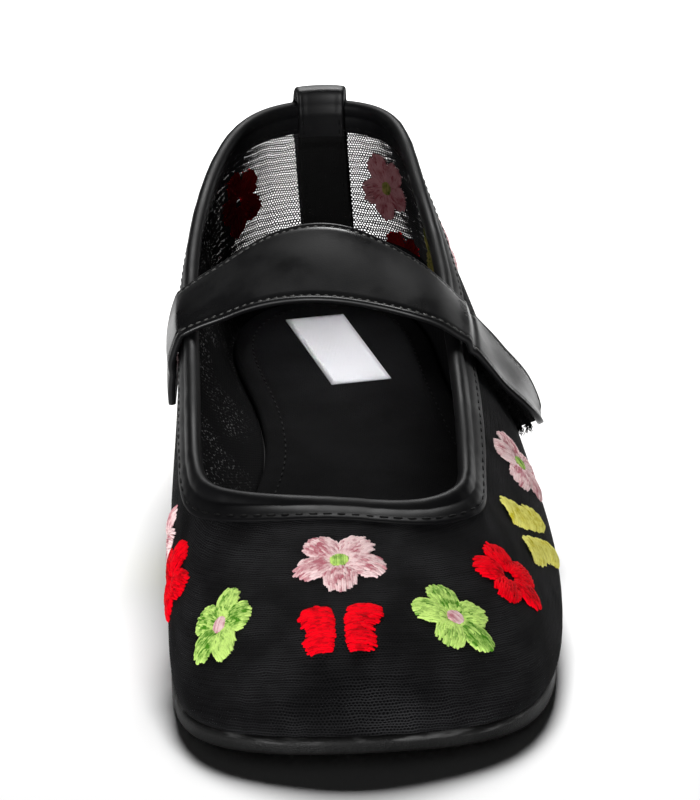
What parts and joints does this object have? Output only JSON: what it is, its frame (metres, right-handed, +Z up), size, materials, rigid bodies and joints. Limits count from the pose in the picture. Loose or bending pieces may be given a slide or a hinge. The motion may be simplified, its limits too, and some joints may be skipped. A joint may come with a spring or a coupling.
{
  "type": "mary jane flat shoe",
  "caption": "Low-heeled Mary Jane flat for the left foot: net upper with embroidered flowers, leather topline binding, instep strap on hook-and-loop tape, thin rubber sole.",
  "frame": {"origin": "on the floor under the middle of the shoe's box", "axes": "+Z up, toe towards -Y, heel towards +Y, outer side of the left foot towards +X"},
  "size_m": [0.0908, 0.2509, 0.074],
  "materials": {
    "rubber": "matte moulded",
    "lining": "matte suede-like lining",
    "label": "satin woven",
    "net": "fine net with embroidery",
    "leather": "soft sheen, fine grain",
    "tape": "hook-and-loop pile"
  },
  "bodies": {
    "root": {"outsole": "rubber", "insole": "lining", "insole_label": "label", "upper": "net", "topline_binding": "leather", "instep_strap": "leather", "loop_pad": "tape", "hook_pad": "tape", "heel_strip": "leather"}
  },
  "joints": []
}
